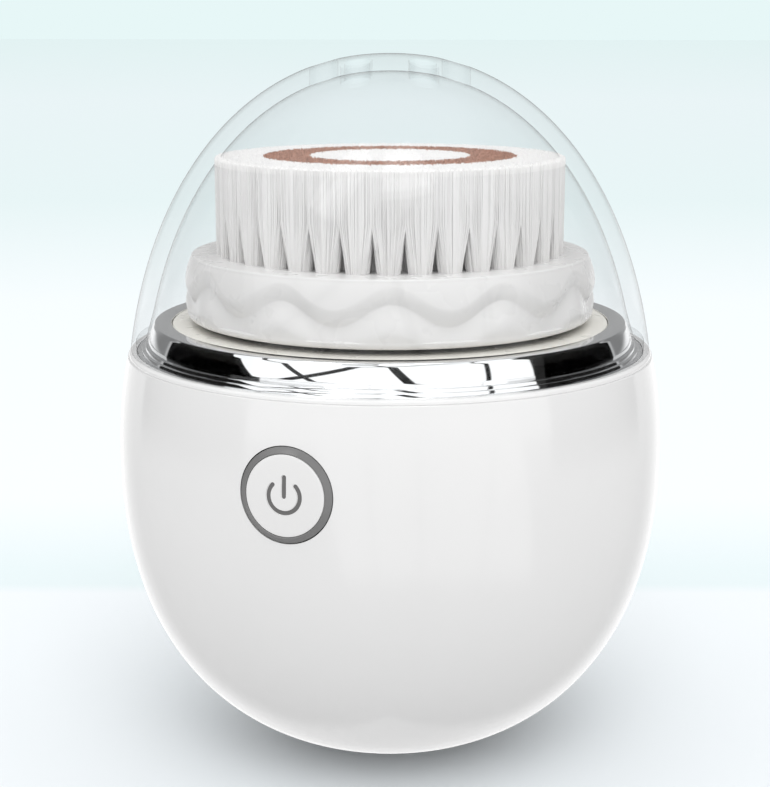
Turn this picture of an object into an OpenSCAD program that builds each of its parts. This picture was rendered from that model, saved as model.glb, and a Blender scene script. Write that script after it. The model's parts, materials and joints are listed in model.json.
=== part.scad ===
// Egg-shaped facial cleansing brush that stands on its own foot under a clear lift-off cover.
// A motor on the centre line drives the round brush head through a two-stage reverted gear train.
// Millimetres, +Z up, origin at the centre of the foot, power button facing -Y.

/* [Body] */
// Greatest radius of the body
body_r = 37.5; // [37:0.1:38.5]
// Height of the greatest radius above the foot
waist_z = 41.45; // [41:0.05:42]
// Half height of the rounded bowl below the waist
bowl_h = 42.65; // [42.4:0.05:43]
// Roundness of the bowl, 2 is an ellipse and more is squarer
bowl_power = 2.34; // [2.2:0.02:2.5]
// Half height of the ellipse that the shoulder above the waist follows
shoulder_h = 49; // [47:0.5:52]
// Height of the body's open rim
rim_z = 55.5; // [55.3:0.1:55.7]
// Thickness of the body's wall
body_wall = 2.2; // [2:0.1:2.4]
// Radius of the foot pad
foot_r = 10.8; // [9:0.1:11]

/* [Cover] */
// Greatest radius of the dome that the cover follows
cover_r = 36.5; // [36.4:0.05:36.7]
// Height of the centre of that dome
cover_z = 43.32; // [43.2:0.02:43.5]
// Half height of that dome
cover_h = 51.72; // [51.6:0.1:54]
// Roundness of that dome
cover_power = 2.14; // [2.12:0.01:2.2]
// Thickness of the cover's wall
cover_wall = 2.3; // [2:0.1:2.3]
// Radius of one vent
vent_r = 1.95; // [1.5:0.05:2.2]
// Radius of the circle that the vents stand on
vent_ring_r = 8.9; // [8:0.1:10]
// Angle at which the cover is set down
cover_turn = 19; // [0:1:59]

/* [Brush head] */
// Height of the brush head's lower edge
head_z = 59.8; // [59.6:0.1:60]
// Greatest radius of the brush head
head_r = 28.25; // [27:0.25:28.5]
// Height of the face that the bristles stand on
bristle_z = 68.6; // [68:0.1:69]
// Height of the bristle tips
tip_z = 81.7; // [80:0.1:81.7]
// Radius of the bristle field
field_r = 23.8; // [23:0.1:23.8]
// Radius at which the copper-tipped bristles begin, from outside
copper_outer_r = 17.2; // [16.8:0.1:17.4]
// Radius at which they end
copper_inner_r = 10.95; // [10.7:0.05:11.2]
// Radius of one tuft
tuft_r = 1.4; // [1.2:0.05:1.4]
// Waves around the side of the brush head
waves = 12; // [10:1:14]
// Angle from a tuft to the crest of a wave
wave_turn = 13; // [0:1:29]
// Angle at which the brush head is parked
head_turn = 9.25; // [0:0.25:29]

/* [Button] */
// Height of the button's centre
button_z = 43.7; // [43:0.1:44]
// Outer radius of the button's grey ring
bezel_r = 6; // [5.8:0.1:6.2]
// Radius of the hole through that ring
bezel_hole_r = 5.05; // [5:0.01:5.1]
// Travel of the button
button_travel = 0.6; // [0.3:0.1:0.7]

/* [Gears] */
// Size of the teeth: pitch diameter over number of teeth
gear_module = 0.6; // [0.55:0.01:0.6]
// Teeth of the motor's pinion
motor_teeth = 10; // [10:1:10]
// Teeth of the idler's large gear
idler_large_teeth = 36; // [36:1:36]
// Teeth of the idler's small gear
idler_small_teeth = 12; // [12:1:12]
// Teeth of the gear that turns the brush
output_teeth = 34; // [34:1:34]

/* [Charging socket] */
// Height of the charging socket's centre
port_z = 24; // [23:0.5:25]
// Radius of the plug that closes it
plug_r = 4.5; // [4:0.1:4.6]

/* [Hidden] */
$fn = 96;
eps = 0.01;
fit_gap = 0.05;

// Body
shell_base_z = 0.3;
foot_h = 1.3;
floor_z = 3.5;
ledge_z = 54.3;
ledge_r = 34.9;
lip_round = 0.45;
boss_ring_r = 30.6;
boss_r = 2.8;
boss_z = 40;

// Top frame and deck
frame_z = 51.8;
frame_top_z = 54.2;
frame_r = 33.4;
seal_groove_r = 32.85;
seal_wire_r = 0.6;
seal_groove_h = 0.65;
seal_ring_r = 33.52;
seal_z = 53;
deck_z = 57.3;
deck_top_z = 59.1;
deck_r = 29.95;
deck_rim_r = 31.3;
deck_hole_r = 6.05;
deck_rib_r = 26.2;
hub_r = 7.5;

// Chrome ring
ring_flange_r = 34.84;
ring_foot_z = 54.32;
ring_step_z = 55.5;
ring_wall_r = 33.3;
ring_wall_z = 56.76;
ring_top_r = 32.38;
ring_top_z = 59.22;
ring_hole_r = 30.05;
ring_bore_r = 31.4;
ring_steps = 3;

// Gear train: one axis on the centre line and one behind it
gear_gap_y = gear_module * (motor_teeth + idler_large_teeth) / 2;
pressure_angle = 25;
addendum = 0.8;
dedendum = 1.1;
backlash = 0.06;
flank_steps = 4;
box_z = 38.6;
box_floor_z = 40.4;
box_wall = 1.6;
box_inner_r = 12.2;
box_top_z = frame_z - fit_gap;
shaft_r = 2.5;
motor_r = 10;
motor_z = 13.6;
motor_top_z = box_z - fit_gap;
motor_shaft_r = 1;
motor_shaft_l = 32.7;
pinion_z = 41.2;
pinion_h = 4.2;
idler_large_z = 41.6;
idler_large_h = 3;
idler_small_h = 5.4;
output_gear_z = 46.4;
output_gear_h = 3.2;
output_shaft_z = 46.1;
hex_z = 59.4;
hex_l = 6.6;
bush_z = 51;
bush_r = 4;
bush_top_z = 57;
axle_r = 1.2;
axle_l = 13.9;
motor_screw_x = 6.5;
ear_z = 45.8;
ear_x = 16.4;
ear_r = 3;

// Screws
screw_head_r = 1.9;
screw_head_h = 1.3;
screw_shank_r = 0.95;
screw_l = 7;
pilot_r = 1;

// Button and board, measured along -Y from the centre line
bezel_back = 33.6;
cap_flange = 33.4;
cap_flange_t = 0.8;
stem_end = 31.8;
switch_front = 30.4;
board_front = 27;
board_back = 25.8;
board_post_x = 7.5;
board_post_z = 47;
inlay_depth = 0.35;
symbol_r = 2.3;
symbol_w = 0.6;

// Charging socket, measured along +Y
port_floor = 31.8;
socket_front = 30.9;
socket_back = 21;
socket_r = 4;
socket_bore_r = 1.85;
socket_pin_r = 0.65;

// Battery
battery_y = 12.5;
battery_t = 6;
battery_w = 25;
battery_z = 10.5;
battery_top_z = 38;
battery_wire_x = 9;
battery_wire_y = 15.5;

// Where the wires meet the board's lower edge, as [y, z]
wire_end = [-26.4, 27.9];

// Brush head
widest_z = 63.3;
cup_r = 25.2;
cup_top_z = 66.4;
head_hub_r = 7.6;
socket_insert_r = 5.1;
head_foot_z = 60.2;

// Bristles
tuft_crown_z = 77.2;
trim_h = 2.1;
trim_r = 1.5;
field_gap = 0.05;

// Radius of the body at height z, taken in by t
function body_radius(z, t = 0) = z < waist_z
    ? (body_r - t) * pow(max(0, 1 - pow((waist_z - z) / (bowl_h - t), bowl_power)), 1 / bowl_power)
    : (body_r - t) * sqrt(1 - pow((z - waist_z) / (shoulder_h - t), 2));

// The body's side from height low to height high, taken in by t: closer steps near the foot
function body_side(low, high, t = 0, steps = 16) = concat(
    [for (i = [0 : steps - 1]) let (z = low + (waist_z - low) * (1 - cos(90 * i / steps)))
        [body_radius(z, t), z]],
    [for (i = [0 : 4]) let (z = waist_z + (high - waist_z) * i / 4) [body_radius(z, t), z]]);

// Radius of the cover at height z, taken in by t
function cover_radius(z, t = 0) =
    (cover_r - t) * pow(max(0, 1 - pow((z - cover_z) / (cover_h - t), cover_power)), 1 / cover_power);

// The cover's side from height low to its crown, taken in by t: closer steps near the crown
function cover_side(low, t = 0, steps = 22) = let (top = cover_z + cover_h - t)
    [for (i = [0 : steps]) let (z = low + (top - low) * sin(90 * i / steps))
        [i == steps ? 0 : cover_radius(z, t), z]];

function reversed(list) = [for (i = [len(list) - 1 : -1 : 0]) list[i]];

// Outline of a slot with round ends, from the origin to [0, length]
function slot_outline(r, length, steps = 20) = concat(
    [for (i = [0 : steps]) r * [cos(180 + 180 * i / steps), sin(180 + 180 * i / steps)]],
    [for (i = [0 : steps]) [0, length] + r * [cos(180 * i / steps), sin(180 * i / steps)]]);

// Involute gear outline with one tooth centred on the +X axis
function involute(angle) = tan(angle) * 180 / PI - angle;
function half_tooth(teeth, r) = let (
    pitch_r = gear_module * teeth / 2,
    base_r = pitch_r * cos(pressure_angle),
    width = PI * gear_module / 2 - backlash)
    width / (2 * pitch_r) * 180 / PI + involute(pressure_angle) - involute(acos(min(1, base_r / r)));
function gear_outline(teeth) = let (
    pitch_r = gear_module * teeth / 2,
    base_r = pitch_r * cos(pressure_angle),
    root_r = pitch_r - dedendum * gear_module,
    tip_r = pitch_r + addendum * gear_module,
    start_r = max(base_r, root_r),
    flank = concat(root_r < start_r ? [root_r] : [],
        [for (i = [0 : flank_steps]) start_r + (tip_r - start_r) * i / flank_steps]))
    [for (k = [0 : teeth - 1], side = [-1, 1], r = side < 0 ? flank : reversed(flank))
        let (a = 360 * k / teeth + side * half_tooth(teeth, r)) r * [cos(a), sin(a)]];

// Point at t along a cubic curve through the plane x = constant; controls are [y, z]
function on_curve(c, t) = pow(1 - t, 3) * c[0] + 3 * pow(1 - t, 2) * t * c[1]
    + 3 * (1 - t) * t * t * c[2] + pow(t, 3) * c[3];
function unit(v) = v / norm(v);

// Round wire of radius r along such a curve at the given x
module wire(x, c, r = 0.6, sides = 8, rings = 24) {
    path = [for (i = [0 : rings]) on_curve(c, i / rings)];
    points = [for (i = [0 : rings]) let (
        ahead = path[min(rings, i + 1)] - path[max(0, i - 1)],
        across = unit([-ahead[1], ahead[0]]))
        for (k = [0 : sides - 1]) let (a = 360 * k / sides)
            [x + r * cos(a), path[i][0] + r * sin(a) * across[0], path[i][1] + r * sin(a) * across[1]]];
    walls = [for (i = [0 : rings - 1], k = [0 : sides - 1]) let (n = (k + 1) % sides)
        [i * sides + k, i * sides + n, (i + 1) * sides + n, (i + 1) * sides + k]];
    ends = [[for (k = [sides - 1 : -1 : 0]) k], [for (k = [0 : sides - 1]) rings * sides + k]];
    polyhedron(points, concat(walls, ends), convexity = 4);
}

// Solid of the body's outer form, taken in by t
module body_form(t = 0) {
    side = body_side(shell_base_z, rim_z, t);
    rotate_extrude() polygon(concat([[0, shell_base_z]], side, [[0, rim_z]]));
}

// Cylinder along Y from y = from to y = to
module bar_y(r, from, to, z, x = 0) {
    translate([x, from, z]) rotate([-90, 0, 0]) cylinder(r = r, h = to - from);
}

module at_bosses() {
    for (k = [0 : 3]) rotate(45 + 90 * k) translate([boss_ring_r, 0, 0]) children();
}

module at_ears() {
    for (x = [-ear_x, ear_x], y = [0, gear_gap_y]) translate([x, y, 0]) children();
}

// Cross-head screw with its head's underside at the origin, pointing down
module screw(head_r = screw_head_r, head_h = screw_head_h, shank_r = screw_shank_r, l = screw_l) {
    difference() {
        union() {
            cylinder(r = head_r, h = head_h);
            translate([0, 0, -l]) cylinder(r = shank_r, h = l + eps);
        }
        for (a = [0, 90]) rotate(a) translate([-head_r * 0.6, -0.2, head_h * 0.4])
            cube([head_r * 1.2, 0.4, head_h]);
    }
}

// Outer casing, with its rim, screw bosses, button hole and socket
module body_shell() {
    outer = body_side(shell_base_z, rim_z - lip_round);
    inner = body_side(floor_z, ledge_z, body_wall);
    lip = [for (a = [0 : 30 : 90])
        [body_radius(rim_z) - lip_round * (1 - cos(a)), rim_z - lip_round * (1 - sin(a))]];
    color("white") difference() {
        union() {
            rotate_extrude() polygon(concat([[0, shell_base_z]], outer, lip,
                [[ledge_r, rim_z], [ledge_r, ledge_z]], reversed(inner), [[0, floor_z]]));
            intersection() {
                at_bosses() {
                    translate([0, 0, boss_z]) cylinder(r = boss_r, h = box_top_z - boss_z);
                    translate([0, -1.2, boss_z]) cube([6, 2.4, box_top_z - boss_z]);
                }
                body_form(1);
            }
            intersection() {
                bar_y(plug_r + 1.7, socket_front - 1, 40, port_z);
                body_form(0.4);
            }
        }
        translate([0, 0, shell_base_z - 1]) cylinder(r = foot_r + 0.1, h = foot_h - shell_base_z + 1);
        at_bosses() translate([0, 0, box_top_z - screw_l]) cylinder(r = pilot_r, h = screw_l + 1);
        bar_y(bezel_r + fit_gap, -40, -30, button_z);
        bar_y(plug_r + fit_gap, port_floor, 40, port_z);
        bar_y(socket_bore_r, 28, 40, port_z);
        bar_y(socket_r + fit_gap, 28, socket_front, port_z);
    }
}

// Soft pad that the brush stands on
module foot_pad() {
    color("lightgray") rotate_extrude() polygon([[0, 0.3], [foot_r - 3.4, 0.3], [foot_r - 3, 0],
        [foot_r - 0.3, 0], [foot_r, 0.3], [foot_r, foot_h - fit_gap], [0, foot_h - fit_gap]]);
}

// Round charging socket with its centre contact
module charge_socket() {
    color("dimgray") difference() {
        bar_y(socket_r, socket_back, socket_front - fit_gap, port_z);
        difference() {
            bar_y(socket_bore_r, socket_back + 2, socket_front + 1, port_z);
            bar_y(socket_pin_r, socket_back, socket_front - 2, port_z);
        }
    }
}

// Soft plug that closes the charging socket; its head follows the body
module port_plug() {
    color("gainsboro") difference() {
        union() {
            intersection() {
                bar_y(plug_r, port_floor + fit_gap, 40, port_z);
                body_form();
            }
            bar_y(socket_bore_r - 0.1, socket_front - 4, port_floor + 1, port_z);
        }
        bar_y(socket_pin_r + 0.25, socket_front - 5, port_floor, port_z);
        bar_y(1.1, 34.9, 38, port_z - 3.6);
    }
}

// Grey ring round the button, with a flange inside the wall
module button_bezel() {
    color("gray") difference() {
        union() {
            intersection() {
                bar_y(bezel_r, -40, -bezel_back, button_z);
                body_form(-0.04);
            }
            bar_y(bezel_r + 1.4, -bezel_back - 0.7, -bezel_back, button_z);
        }
        bar_y(bezel_hole_r, -40, -30, button_z);
    }
}

// Power symbol as a bar and an open ring, seen from the front
module symbol_outline() {
    difference() {
        circle(r = symbol_r + symbol_w / 2);
        circle(r = symbol_r - symbol_w / 2);
        polygon([[0, 0], [-4, 4], [4, 4]]);
    }
    translate([-symbol_w / 2, -0.3]) square([symbol_w, 3]);
}

module symbol_prism() {
    translate([0, -30, button_z]) rotate([90, 0, 0]) linear_extrude(height = 10) symbol_outline();
}

// Button cap: its face follows the body, and a flange behind the ring keeps it in
module button_cap() {
    color("whitesmoke") difference() {
        union() {
            intersection() {
                bar_y(bezel_hole_r - 0.08, -40, -cap_flange, button_z);
                body_form(0.06);
            }
            bar_y(bezel_r - 0.1, -cap_flange, -cap_flange + cap_flange_t, button_z);
            bar_y(1.8, -cap_flange, -stem_end, button_z);
        }
        difference() {
            symbol_prism();
            body_form(inlay_depth);
        }
    }
}

// Grey inlay in the button's face
module power_symbol() {
    color("gray") intersection() {
        symbol_prism();
        difference() {
            body_form(0.04);
            body_form(inlay_depth);
        }
    }
}

// Push switch on the board, behind the button
module switch_body() {
    color("black") difference() {
        translate([-3, -switch_front, button_z - 3]) cube([6, switch_front - board_front, 6]);
        bar_y(1.8, -switch_front - 1, -board_front - 0.8, button_z);
    }
}

module switch_plunger() {
    color("tan") bar_y(1.7, -stem_end + eps, -board_front - 0.8 - button_travel - 0.2, button_z);
}

// Circuit board standing behind the button
module control_board() {
    color("darkgreen") difference() {
        translate([-10, -board_front, 28]) cube([20, board_front - board_back, 22]);
        for (x = [-board_post_x, board_post_x])
            bar_y(pilot_r, -board_front - 1, -board_back + 1, board_post_z, x);
    }
}

module controller_chip() {
    color("black") translate([-3.5, -board_back, 31]) {
        cube([7, 0.9, 7]);
        for (i = [0 : 6], x = [-0.8, 7]) translate([x, 0, 0.5 + i]) cube([0.8 + eps, 0.3, 0.4]);
    }
}

module board_screws() {
    color("silver") for (x = [-board_post_x, board_post_x])
        translate([x, -board_front, board_post_z]) rotate([90, 0, 0])
            screw(head_r = 1.6, head_h = 1, shank_r = 0.75, l = 6);
}

// Flat lithium cell standing behind the motor
module battery() {
    color("steelblue") translate([-battery_w / 2, battery_y, battery_z]) {
        cube([battery_w, battery_t, battery_top_z - battery_z - 1]);
        translate([2, 1.5, battery_top_z - battery_z - 1 - eps])
            cube([battery_w - 4, battery_t - 3, 1]);
    }
}

// Open tray that holds the cell against the gearbox
module battery_cradle() {
    wall = 1.2;
    color("white") difference() {
        translate([-battery_w / 2 - wall - 0.2, battery_y - wall - 0.2, battery_z - wall - 0.2])
            cube([battery_w + 2 * wall + 0.4, battery_t + wall + 0.2, box_z - battery_z + wall + 0.1]);
        translate([-battery_w / 2 - 0.2, battery_y - 0.2, battery_z - 0.2])
            cube([battery_w + 0.4, battery_t + 5, 40]);
        for (x = [-battery_wire_x, battery_wire_x])
            translate([x, battery_wire_y, battery_z - 3]) cylinder(r = 1, h = 4);
    }
}

// Pairs of wires, each in a plane beside the centre line, from their source to the board
module battery_wires() {
    color("red") for (x = [-battery_wire_x, battery_wire_x])
        wire(x, [[battery_wire_y, battery_z - 0.1], [battery_wire_y, 1.2], [-22, 2], wire_end]);
}

module motor_wires() {
    color("blue") for (x = [-1.2, 1.2])
        wire(x, [[-5, motor_z - 0.1], [-5, 4], [wire_end[0], 10], wire_end]);
}

module charge_wires() {
    color("black") for (x = [-3, 3])
        wire(x, [[24.5, port_z - 3.3], [27, -3.5], [-20, 1.5], wire_end]);
}

// Motor: steel can, plastic end cap and shaft
module motor_can() {
    color("silver") rotate_extrude() polygon([[motor_shaft_r + fit_gap, motor_z + 2.4],
        [motor_r, motor_z + 2.4], [motor_r, motor_top_z - 0.6], [motor_r - 0.6, motor_top_z],
        [3, motor_top_z], [3, motor_top_z + 1.2], [motor_shaft_r + fit_gap, motor_top_z + 1.2]]);
}

module motor_end_cap() {
    color("white") rotate_extrude() polygon([[motor_shaft_r + fit_gap, motor_z - 0.9],
        [2.4, motor_z - 0.9], [2.4, motor_z], [motor_r - 0.5, motor_z],
        [motor_r - 0.5, motor_z + 2.35], [motor_shaft_r + fit_gap, motor_z + 2.35]]);
}

module motor_shaft() {
    color("silver") translate([0, 0, motor_z - 0.5]) cylinder(r = motor_shaft_r, h = motor_shaft_l);
}

module motor_pinion() {
    color("khaki") difference() {
        translate([0, 0, pinion_z]) rotate(90) linear_extrude(height = pinion_h)
            polygon(gear_outline(motor_teeth));
        translate([0, 0, pinion_z - 1]) cylinder(r = motor_shaft_r + eps, h = pinion_h + 2);
    }
}

module motor_screws() {
    color("silver") for (x = [-motor_screw_x, motor_screw_x]) translate([x, 0, box_floor_z])
        screw(head_r = 1.6, head_h = 0.9, shank_r = 0.75, l = 1.75);
}

// Cup that holds the gears, with ears for its screws and posts for the board
module gearbox_housing() {
    color("whitesmoke") difference() {
        union() {
            translate([0, 0, box_z]) linear_extrude(height = box_top_z - box_z)
                polygon(slot_outline(box_inner_r + box_wall, gear_gap_y));
            at_ears() translate([0, 0, ear_z]) cylinder(r = ear_r, h = box_top_z - ear_z);
            for (y = [0, gear_gap_y]) translate([-ear_x, y - 1.5, ear_z])
                cube([2 * ear_x, 3, box_top_z - ear_z]);
            for (x = [-board_post_x, board_post_x])
                bar_y(2.2, -board_back + fit_gap, -10.5, board_post_z, x);
        }
        translate([0, 0, box_floor_z]) linear_extrude(height = 20)
            polygon(slot_outline(box_inner_r, gear_gap_y));
        at_ears() translate([0, 0, box_top_z - screw_l]) cylinder(r = pilot_r, h = screw_l + 1);
        for (x = [-board_post_x, board_post_x])
            bar_y(0.8, -board_back - 1, -board_back + 6, board_post_z, x);
        translate([0, 0, box_z - 1]) cylinder(r = 3.05, h = 4);
        for (x = [-motor_screw_x, motor_screw_x])
            translate([x, 0, box_z - 1]) cylinder(r = 0.8, h = 4);
        translate([0, gear_gap_y, box_z + 0.6]) cylinder(r = axle_r + eps, h = 4);
    }
}

module idler_axle() {
    color("silver") translate([0, gear_gap_y, box_z + 0.65]) cylinder(r = axle_r, h = axle_l);
}

// Large gear driven by the motor and small gear that drives the output, in one moulding
module idler_gear() {
    color("khaki") translate([0, gear_gap_y, 0]) difference() {
        union() {
            translate([0, 0, idler_large_z]) rotate(180 / idler_large_teeth)
                linear_extrude(height = idler_large_h) polygon(gear_outline(idler_large_teeth));
            translate([0, 0, idler_large_z + idler_large_h - eps])
                linear_extrude(height = idler_small_h) polygon(gear_outline(idler_small_teeth));
            translate([0, 0, box_floor_z + 0.3]) cylinder(r = 2.1, h = 10.8);
        }
        translate([0, 0, box_floor_z]) cylinder(r = axle_r + fit_gap, h = 12);
    }
}

module output_gear() {
    color("khaki") difference() {
        union() {
            translate([0, 0, output_gear_z]) linear_extrude(height = output_gear_h)
                polygon(gear_outline(output_teeth));
            translate([0, 0, output_gear_z + output_gear_h - eps]) cylinder(r = 4.2, h = 1);
        }
        translate([0, 0, output_gear_z - 1]) cylinder(r = shaft_r + eps, h = 7);
    }
}

// Round in its bearing, with a hexagonal end that drives the brush head
module output_shaft() {
    color("silver") rotate(head_turn) {
        translate([0, 0, output_shaft_z]) cylinder(r = shaft_r, h = hex_z - output_shaft_z);
        translate([0, 0, hex_z - eps]) cylinder(r = shaft_r, h = hex_l, $fn = 6);
    }
}

module bearing_bush() {
    color("goldenrod") rotate_extrude() polygon([[shaft_r + fit_gap, bush_z],
        [bush_r + 1.2, bush_z], [bush_r + 1.2, frame_z - eps], [bush_r, frame_z - eps],
        [bush_r, bush_top_z], [shaft_r + fit_gap, bush_top_z]]);
}

// Disc that closes the body, carries the bearing and holds up the deck
module top_frame() {
    color("whitesmoke") difference() {
        rotate_extrude() polygon([[bush_r + eps, frame_z], [frame_r, frame_z],
            [frame_r, seal_z - seal_groove_h], [seal_groove_r, seal_z - seal_groove_h],
            [seal_groove_r, seal_z + seal_groove_h], [frame_r, seal_z + seal_groove_h],
            [frame_r, frame_top_z], [deck_rib_r + 2, frame_top_z], [deck_rib_r + 2, deck_z - fit_gap],
            [deck_rib_r, deck_z - fit_gap], [deck_rib_r, frame_top_z], [hub_r, frame_top_z],
            [hub_r, deck_z - 0.1], [bush_r + eps, deck_z - 0.1]]);
        at_bosses() screw_seat();
        at_ears() screw_seat();
        translate([0, gear_gap_y, frame_z - 1]) cylinder(r = axle_r + eps, h = 2.5);
    }
}

module screw_seat() {
    translate([0, 0, frame_top_z - 1.4]) cylinder(r = screw_head_r + 0.2, h = 2);
    translate([0, 0, frame_z - 1]) cylinder(r = pilot_r + 0.1, h = 4);
}

// Soft ring that seals the frame to the body
module frame_seal() {
    color("dimgray") translate([0, 0, seal_z]) rotate_extrude()
        translate([seal_ring_r, 0]) circle(r = seal_wire_r, $fn = 32);
}

module frame_screws() {
    color("silver") {
        at_bosses() translate([0, 0, frame_top_z - 1.4]) screw(l = 6);
        at_ears() translate([0, 0, frame_top_z - 1.4]) screw(l = 6);
    }
}

// Lip seal round the shaft
module shaft_seal() {
    color("dimgray") rotate_extrude() polygon([[shaft_r + 0.06, deck_z + 0.6], [3.2, deck_z],
        [deck_hole_r - fit_gap, deck_z], [deck_hole_r - fit_gap, deck_top_z - 0.1],
        [3.2, deck_top_z - 0.1], [shaft_r + 0.06, deck_top_z - 0.5]]);
}

// Off-white disc under the brush head, held at its rim by the chrome ring
module deck_plate() {
    color("linen") rotate_extrude() polygon([[deck_hole_r, deck_z], [deck_rim_r, deck_z],
        [deck_rim_r, 58.15], [deck_r, 58.15], [deck_r, deck_top_z - 0.2],
        [deck_r - 0.2, deck_top_z], [deck_hole_r, deck_top_z]]);
}

// Bright ring: stepped flange, leaning wall and flat top
module chrome_ring() {
    step_r = (ring_flange_r - ring_wall_r) / ring_steps;
    step_z = (ring_wall_z - ring_step_z) / ring_steps;
    steps = [for (i = [0 : ring_steps - 1], k = [0, 1])
        [ring_flange_r - step_r * (i + k), ring_step_z + step_z * i]];
    color("silver") rotate_extrude() polygon(concat([[ring_bore_r, ring_foot_z],
        [ring_flange_r, ring_foot_z]], steps, [[ring_wall_r, ring_wall_z],
        [ring_top_r + 0.1, ring_top_z - 0.25], [ring_top_r - 0.15, ring_top_z],
        [ring_hole_r, ring_top_z], [ring_hole_r, 58.2], [ring_bore_r, 58.2]]));
}

// Radius of the brush head's side at height z
function head_radius(z) = z < widest_z
    ? head_r - 0.75 * pow((z - widest_z) / (widest_z - head_z), 2)
    : head_r - 1.75 * pow((z - widest_z) / (bristle_z - widest_z), 2);

// White base of the brush head: a shallow cup with a hub, its side cut back above a row of waves
module brush_base() {
    wave_low_z = 63.2;
    wave_high_z = 66.8;
    half_wave = PI * head_r / waves;
    rise = wave_high_z - wave_low_z;
    wave_r = (half_wave * half_wave + rise * rise) / (2 * rise);
    relief = 0.45;
    heights = [for (i = [0 : 8]) head_z + (bristle_z - head_z) * i / 8];
    side = [for (z = heights) [head_radius(z), z]];
    inner_side = [for (z = heights) [head_radius(z) - relief, z]];
    color("white") rotate(head_turn) difference() {
        rotate_extrude() polygon(concat([[cup_r, head_z]], side, [[socket_insert_r, bristle_z],
            [socket_insert_r, head_foot_z], [head_hub_r, head_foot_z], [head_hub_r, cup_top_z],
            [cup_r, cup_top_z]]));
        intersection() {
            rotate_extrude() polygon(concat([[40, head_z - 1]], [[head_radius(head_z) - relief,
                head_z - 1]], inner_side, [[head_radius(bristle_z) - relief, bristle_z + 1],
                [40, bristle_z + 1]]));
            for (k = [0 : waves - 1]) rotate(360 * k / waves + 180 / waves + wave_turn)
                translate([20, 0, wave_low_z + wave_r]) rotate([0, 90, 0])
                    cylinder(r = wave_r, h = 12);
        }
    }
}

// Hub insert that slips over the shaft's hexagonal end
module drive_socket() {
    color("gainsboro") rotate(head_turn) difference() {
        translate([0, 0, head_foot_z - 0.2])
            cylinder(r = socket_insert_r - fit_gap, h = bristle_z - head_foot_z + 0.2 - fit_gap);
        translate([0, 0, hex_z - 0.4]) cylinder(r = shaft_r + 0.06, h = hex_l + 0.7, $fn = 6);
    }
}

// Bristles: separate tufts at their roots that spread into one crown at their tips
module bristle_ring(outer, inner, rings, trimmed = false) {
    crown = concat([[inner, tuft_crown_z], [outer, tuft_crown_z]],
        trimmed ? [[outer, tip_z - trim_h], [outer - trim_r, tip_z]] : [[outer, tip_z]],
        [[inner, tip_z]]);
    rotate(head_turn) {
        rotate_extrude() polygon(crown);
        for (ring = rings, k = [0 : ring[1] - 1]) rotate(360 * k / ring[1])
            translate([ring[0], 0, bristle_z]) cylinder(r = tuft_r, h = tuft_crown_z - bristle_z + 1,
                $fn = 32);
    }
}

module outer_bristles() {
    color("white") bristle_ring(field_r, copper_outer_r + field_gap,
        [[field_r - tuft_r - 0.1, 36], [copper_outer_r + tuft_r + 0.2, 30]], true);
}

module copper_bristles() {
    color("rosybrown") bristle_ring(copper_outer_r - field_gap, copper_inner_r + field_gap,
        [[copper_outer_r - tuft_r - 0.2, 24], [copper_inner_r + tuft_r + 0.2, 18]]);
}

module centre_bristles() {
    color("white") bristle_ring(copper_inner_r - field_gap, 0,
        [[copper_inner_r - tuft_r - 0.2, 15], [5.6, 9], [1.9, 3]]);
}

// Clear cover that rests on the body's rim round the chrome ring, with six vents in its crown
module dome_cover() {
    skirt_z = rim_z + 0.04;
    skirt_top_z = 56.85;
    skirt_inner_r = ring_flange_r + 0.08;
    lead_in_r = 33.6;
    lead_in_z = 61;
    color("aliceblue", 0.3) difference() {
        rotate_extrude() polygon(concat([[skirt_inner_r, skirt_z]], cover_side(skirt_z),
            reversed(cover_side(lead_in_z, cover_wall)),
            [[lead_in_r, skirt_top_z], [skirt_inner_r, skirt_top_z]]));
        for (k = [0 : 5]) rotate(cover_turn + 60 * k)
            translate([vent_ring_r, 0, 80]) cylinder(r = vent_r, h = 20);
    }
}

body_shell();
foot_pad();
charge_socket();
port_plug();
button_bezel();
button_cap();
power_symbol();
switch_body();
switch_plunger();
control_board();
controller_chip();
board_screws();
battery();
battery_cradle();
battery_wires();
motor_wires();
charge_wires();
motor_can();
motor_end_cap();
motor_shaft();
motor_pinion();
motor_screws();
gearbox_housing();
idler_axle();
idler_gear();
output_gear();
output_shaft();
bearing_bush();
top_frame();
frame_seal();
frame_screws();
shaft_seal();
deck_plate();
chrome_ring();
brush_base();
drive_socket();
outer_bristles();
copper_bristles();
centre_bristles();
dome_cover();
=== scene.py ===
"""Egg-shaped facial cleansing brush under its clear cover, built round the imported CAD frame."""

import json
import math

import bmesh
import bpy
import numpy as np
from mathutils import Matrix, Vector


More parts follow.
